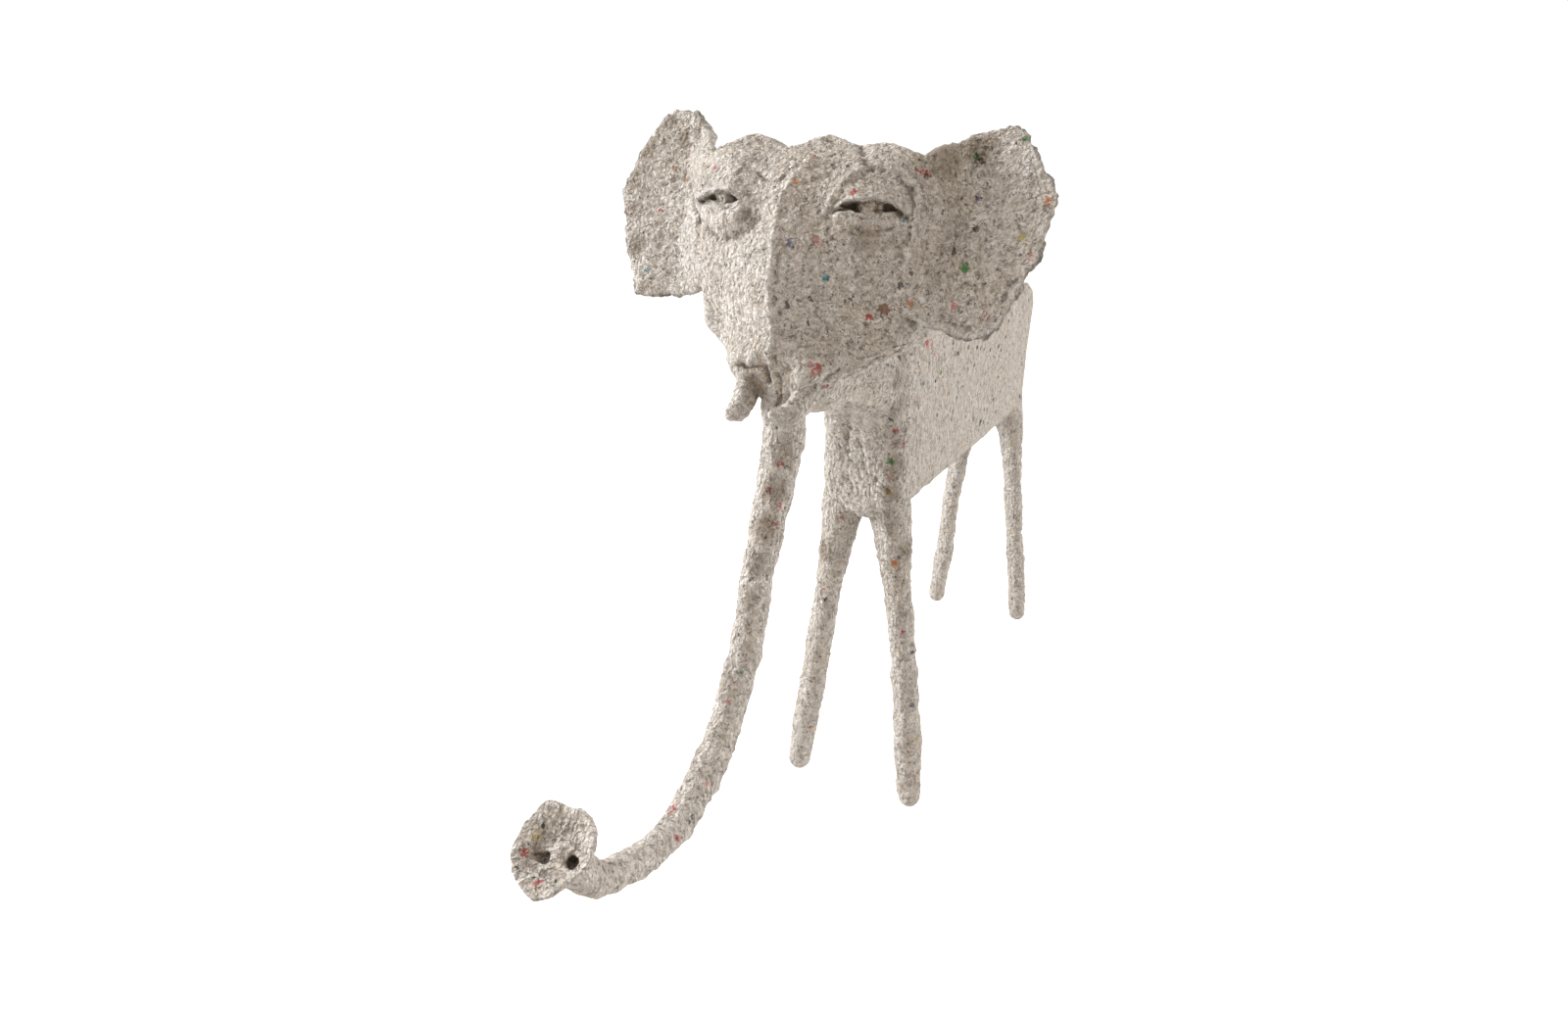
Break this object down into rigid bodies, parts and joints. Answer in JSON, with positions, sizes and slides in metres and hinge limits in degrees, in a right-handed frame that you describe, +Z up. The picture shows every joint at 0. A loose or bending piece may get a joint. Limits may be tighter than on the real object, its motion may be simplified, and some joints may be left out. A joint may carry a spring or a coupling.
{
  "type": "papier-mache elephant figure",
  "caption": "Hand-shaped papier-mache elephant with a slab body, thin splayed legs, cupped ears and a long trunk that curls up into a nostril disc; a decorative figure that stands on its feet",
  "frame": {"origin": "centre of the footprint box on the plane of the foot undersides", "axes": "+X toward the animal's left side, +Y from the trunk's disc toward the rump (the face looks along -Y), +Z up"},
  "size_m": [0.2974, 0.814, 0.5771],
  "materials": {
    "paper_pulp": "rough moulded recycled pulp with dark specks and scattered coloured flecks"
  },
  "bodies": {
    "root": {"papier_mache_elephant": "paper_pulp"}
  },
  "joints": []
}
